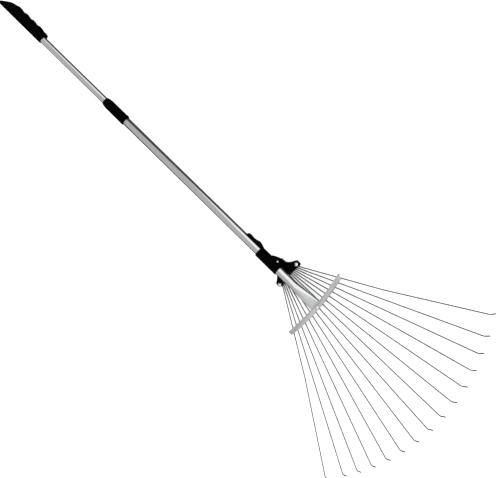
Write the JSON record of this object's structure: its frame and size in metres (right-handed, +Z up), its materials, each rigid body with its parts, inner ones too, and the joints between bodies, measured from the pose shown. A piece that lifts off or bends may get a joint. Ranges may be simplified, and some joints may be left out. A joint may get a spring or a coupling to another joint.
{
  "type": "leaf rake",
  "caption": "Expanding leaf rake: a sliding hub fans spring-wire tines through an arched spreader, on a telescoping metal handle with a ridged grip.",
  "frame": {"origin": "on the ground, below the middle of the rake's length and width", "axes": "+X across the rake, to the lever's side; +Y along the handle, from the tines to the grip; +Z up, the side of the head that the tube lies on"},
  "size_m": [0.592, 1.6076, 0.0863],
  "materials": {
    "tube": "plated steel tube, smooth and bright",
    "tine": "galvanised spring wire, drawn along its length",
    "spreader": "galvanised sheet steel, satin",
    "bright_fastener": "zinc-plated steel, bright",
    "black_plastic": "moulded nylon, fine texture",
    "grip_rubber": "soft moulded grip, matte",
    "inner_plastic": "natural acetal",
    "brake": "friction pad"
  },
  "bodies": {
    "lower_handle": {"lower_tube": "tube", "spreader": "spreader", "spreader_rivet": "bright_fastener", "collar_ferrule": "black_plastic", "collar_collet": "inner_plastic"},
    "upper_handle": {"upper_tube": "tube", "guide_bush": "inner_plastic", "hand_grip": "grip_rubber"},
    "collar": {"collar_nut": "black_plastic"},
    "hub": {"hub_body": "black_plastic", "fan_cover": "black_plastic", "fan_bolts": "bright_fastener", "fan_spacers": "bright_fastener", "fan_washers": "bright_fastener", "fan_nuts": "bright_fastener", "brake_shoe": "brake", "lever_pin": "bright_fastener"},
    "lever": {"cam_lever": "black_plastic"},
    "tine_01": {"tine_01": "tine"},
    "tine_02": {"tine_02": "tine"},
    "tine_03": {"tine_03": "tine"},
    "tine_04": {"tine_04": "tine"},
    "tine_05": {"tine_05": "tine"},
    "tine_06": {"tine_06": "tine"},
    "tine_07": {"tine_07": "tine"},
    "tine_08": {"tine_08": "tine"},
    "tine_09": {"tine_09": "tine"},
    "tine_10": {"tine_10": "tine"},
    "tine_11": {"tine_11": "tine"},
    "tine_12": {"tine_12": "tine"},
    "tine_13": {"tine_13": "tine"},
    "tine_14": {"tine_14": "tine"},
    "tine_15": {"tine_15": "tine"}
  },
  "joints": [
    {"name": "handle_slide", "type": "slide", "parent": "lower_handle", "child": "upper_handle", "axis": [0, -1, 0], "range_m": [0, 0.26]},
    {"name": "collar_twist", "type": "hinge", "parent": "lower_handle", "child": "collar", "pos_m": [0, 0.31778, 0.03834], "axis": [0, 1, 0], "range_deg": [0, 120]},
    {"name": "hub_slide", "type": "slide", "parent": "lower_handle", "child": "hub", "axis": [0, 1, 0], "range_m": [0, 0.095]},
    {"name": "lever_swing", "type": "hinge", "parent": "hub", "child": "lever", "pos_m": [0.019, -0.27922, 0.03834], "axis": [0, 0, -1], "range_deg": [0, 110]},
    {"name": "tine_01_swing", "type": "hinge", "parent": "hub", "child": "tine_01", "pos_m": [0.02781, -0.31022, 0.01242], "axis": [0.2509, 0, -0.968], "range_deg": [0, 14.08]},
    {"name": "tine_02_swing", "type": "hinge", "parent": "hub", "child": "tine_02", "pos_m": [0.02386, -0.31022, 0.01243], "axis": [0.2894, 0, -0.9572], "range_deg": [0, 12.54]},
    {"name": "tine_03_swing", "type": "hinge", "parent": "hub", "child": "tine_03", "pos_m": [0.01989, -0.31022, 0.01243], "axis": [0.3411, 0, -0.94], "range_deg": [0, 10.9]},
    {"name": "tine_04_swing", "type": "hinge", "parent": "hub", "child": "tine_04", "pos_m": [0.01592, -0.31022, 0.01244], "axis": [0.4131, 0, -0.9107], "range_deg": [0, 9.19]},
    {"name": "tine_05_swing", "type": "hinge", "parent": "hub", "child": "tine_05", "pos_m": [0.01195, -0.31022, 0.01244], "axis": [0.5175, 0, -0.8557], "range_deg": [0, 7.46]},
    {"name": "tine_06_swing", "type": "hinge", "parent": "hub", "child": "tine_06", "pos_m": [0.00797, -0.31022, 0.01244], "axis": [0.6719, 0, -0.7407], "range_deg": [0, 5.82]},
    {"name": "tine_07_swing", "type": "hinge", "parent": "hub", "child": "tine_07", "pos_m": [0.00398, -0.31022, 0.01244], "axis": [0.8758, 0, -0.4827], "range_deg": [0, 4.51]},
    {"name": "tine_08_swing", "type": "hinge", "parent": "hub", "child": "tine_08", "pos_m": [0, -0.31022, 0.01244], "axis": [1, 0, 0], "range_deg": [0, 3.96]},
    {"name": "tine_09_swing", "type": "hinge", "parent": "hub", "child": "tine_09", "pos_m": [-0.00398, -0.31022, 0.01244], "axis": [0.8758, 0, 0.4827], "range_deg": [0, 4.51]},
    {"name": "tine_10_swing", "type": "hinge", "parent": "hub", "child": "tine_10", "pos_m": [-0.00797, -0.31022, 0.01244], "axis": [0.6719, 0, 0.7407], "range_deg": [0, 5.82]},
    {"name": "tine_11_swing", "type": "hinge", "parent": "hub", "child": "tine_11", "pos_m": [-0.01195, -0.31022, 0.01244], "axis": [0.5175, 0, 0.8557], "range_deg": [0, 7.46]},
    {"name": "tine_12_swing", "type": "hinge", "parent": "hub", "child": "tine_12", "pos_m": [-0.01592, -0.31022, 0.01244], "axis": [0.4131, 0, 0.9107], "range_deg": [0, 9.19]},
    {"name": "tine_13_swing", "type": "hinge", "parent": "hub", "child": "tine_13", "pos_m": [-0.01989, -0.31022, 0.01243], "axis": [0.3411, 0, 0.94], "range_deg": [0, 10.9]},
    {"name": "tine_14_swing", "type": "hinge", "parent": "hub", "child": "tine_14", "pos_m": [-0.02386, -0.31022, 0.01243], "axis": [0.2894, 0, 0.9572], "range_deg": [0, 12.54]},
    {"name": "tine_15_swing", "type": "hinge", "parent": "hub", "child": "tine_15", "pos_m": [-0.02781, -0.31022, 0.01242], "axis": [0.2509, 0, 0.968], "range_deg": [0, 14.08]}
  ],
  "couplings": [
    {"joint": "tine_01_swing", "follows": "hub_slide", "rad_per_m": 2.5777},
    {"joint": "tine_02_swing", "follows": "hub_slide", "rad_per_m": 2.2956},
    {"joint": "tine_03_swing", "follows": "hub_slide", "rad_per_m": 1.9941},
    {"joint": "tine_04_swing", "follows": "hub_slide", "rad_per_m": 1.6793},
    {"joint": "tine_05_swing", "follows": "hub_slide", "rad_per_m": 1.3614},
    {"joint": "tine_06_swing", "follows": "hub_slide", "rad_per_m": 1.0605},
    {"joint": "tine_07_swing", "follows": "hub_slide", "rad_per_m": 0.81915},
    {"joint": "tine_08_swing", "follows": "hub_slide", "rad_per_m": 0.71903},
    {"joint": "tine_09_swing", "follows": "hub_slide", "rad_per_m": 0.81915},
    {"joint": "tine_10_swing", "follows": "hub_slide", "rad_per_m": 1.0605},
    {"joint": "tine_11_swing", "follows": "hub_slide", "rad_per_m": 1.3614},
    {"joint": "tine_12_swing", "follows": "hub_slide", "rad_per_m": 1.6793},
    {"joint": "tine_13_swing", "follows": "hub_slide", "rad_per_m": 1.9941},
    {"joint": "tine_14_swing", "follows": "hub_slide", "rad_per_m": 2.2956},
    {"joint": "tine_15_swing", "follows": "hub_slide", "rad_per_m": 2.5777}
  ]
}
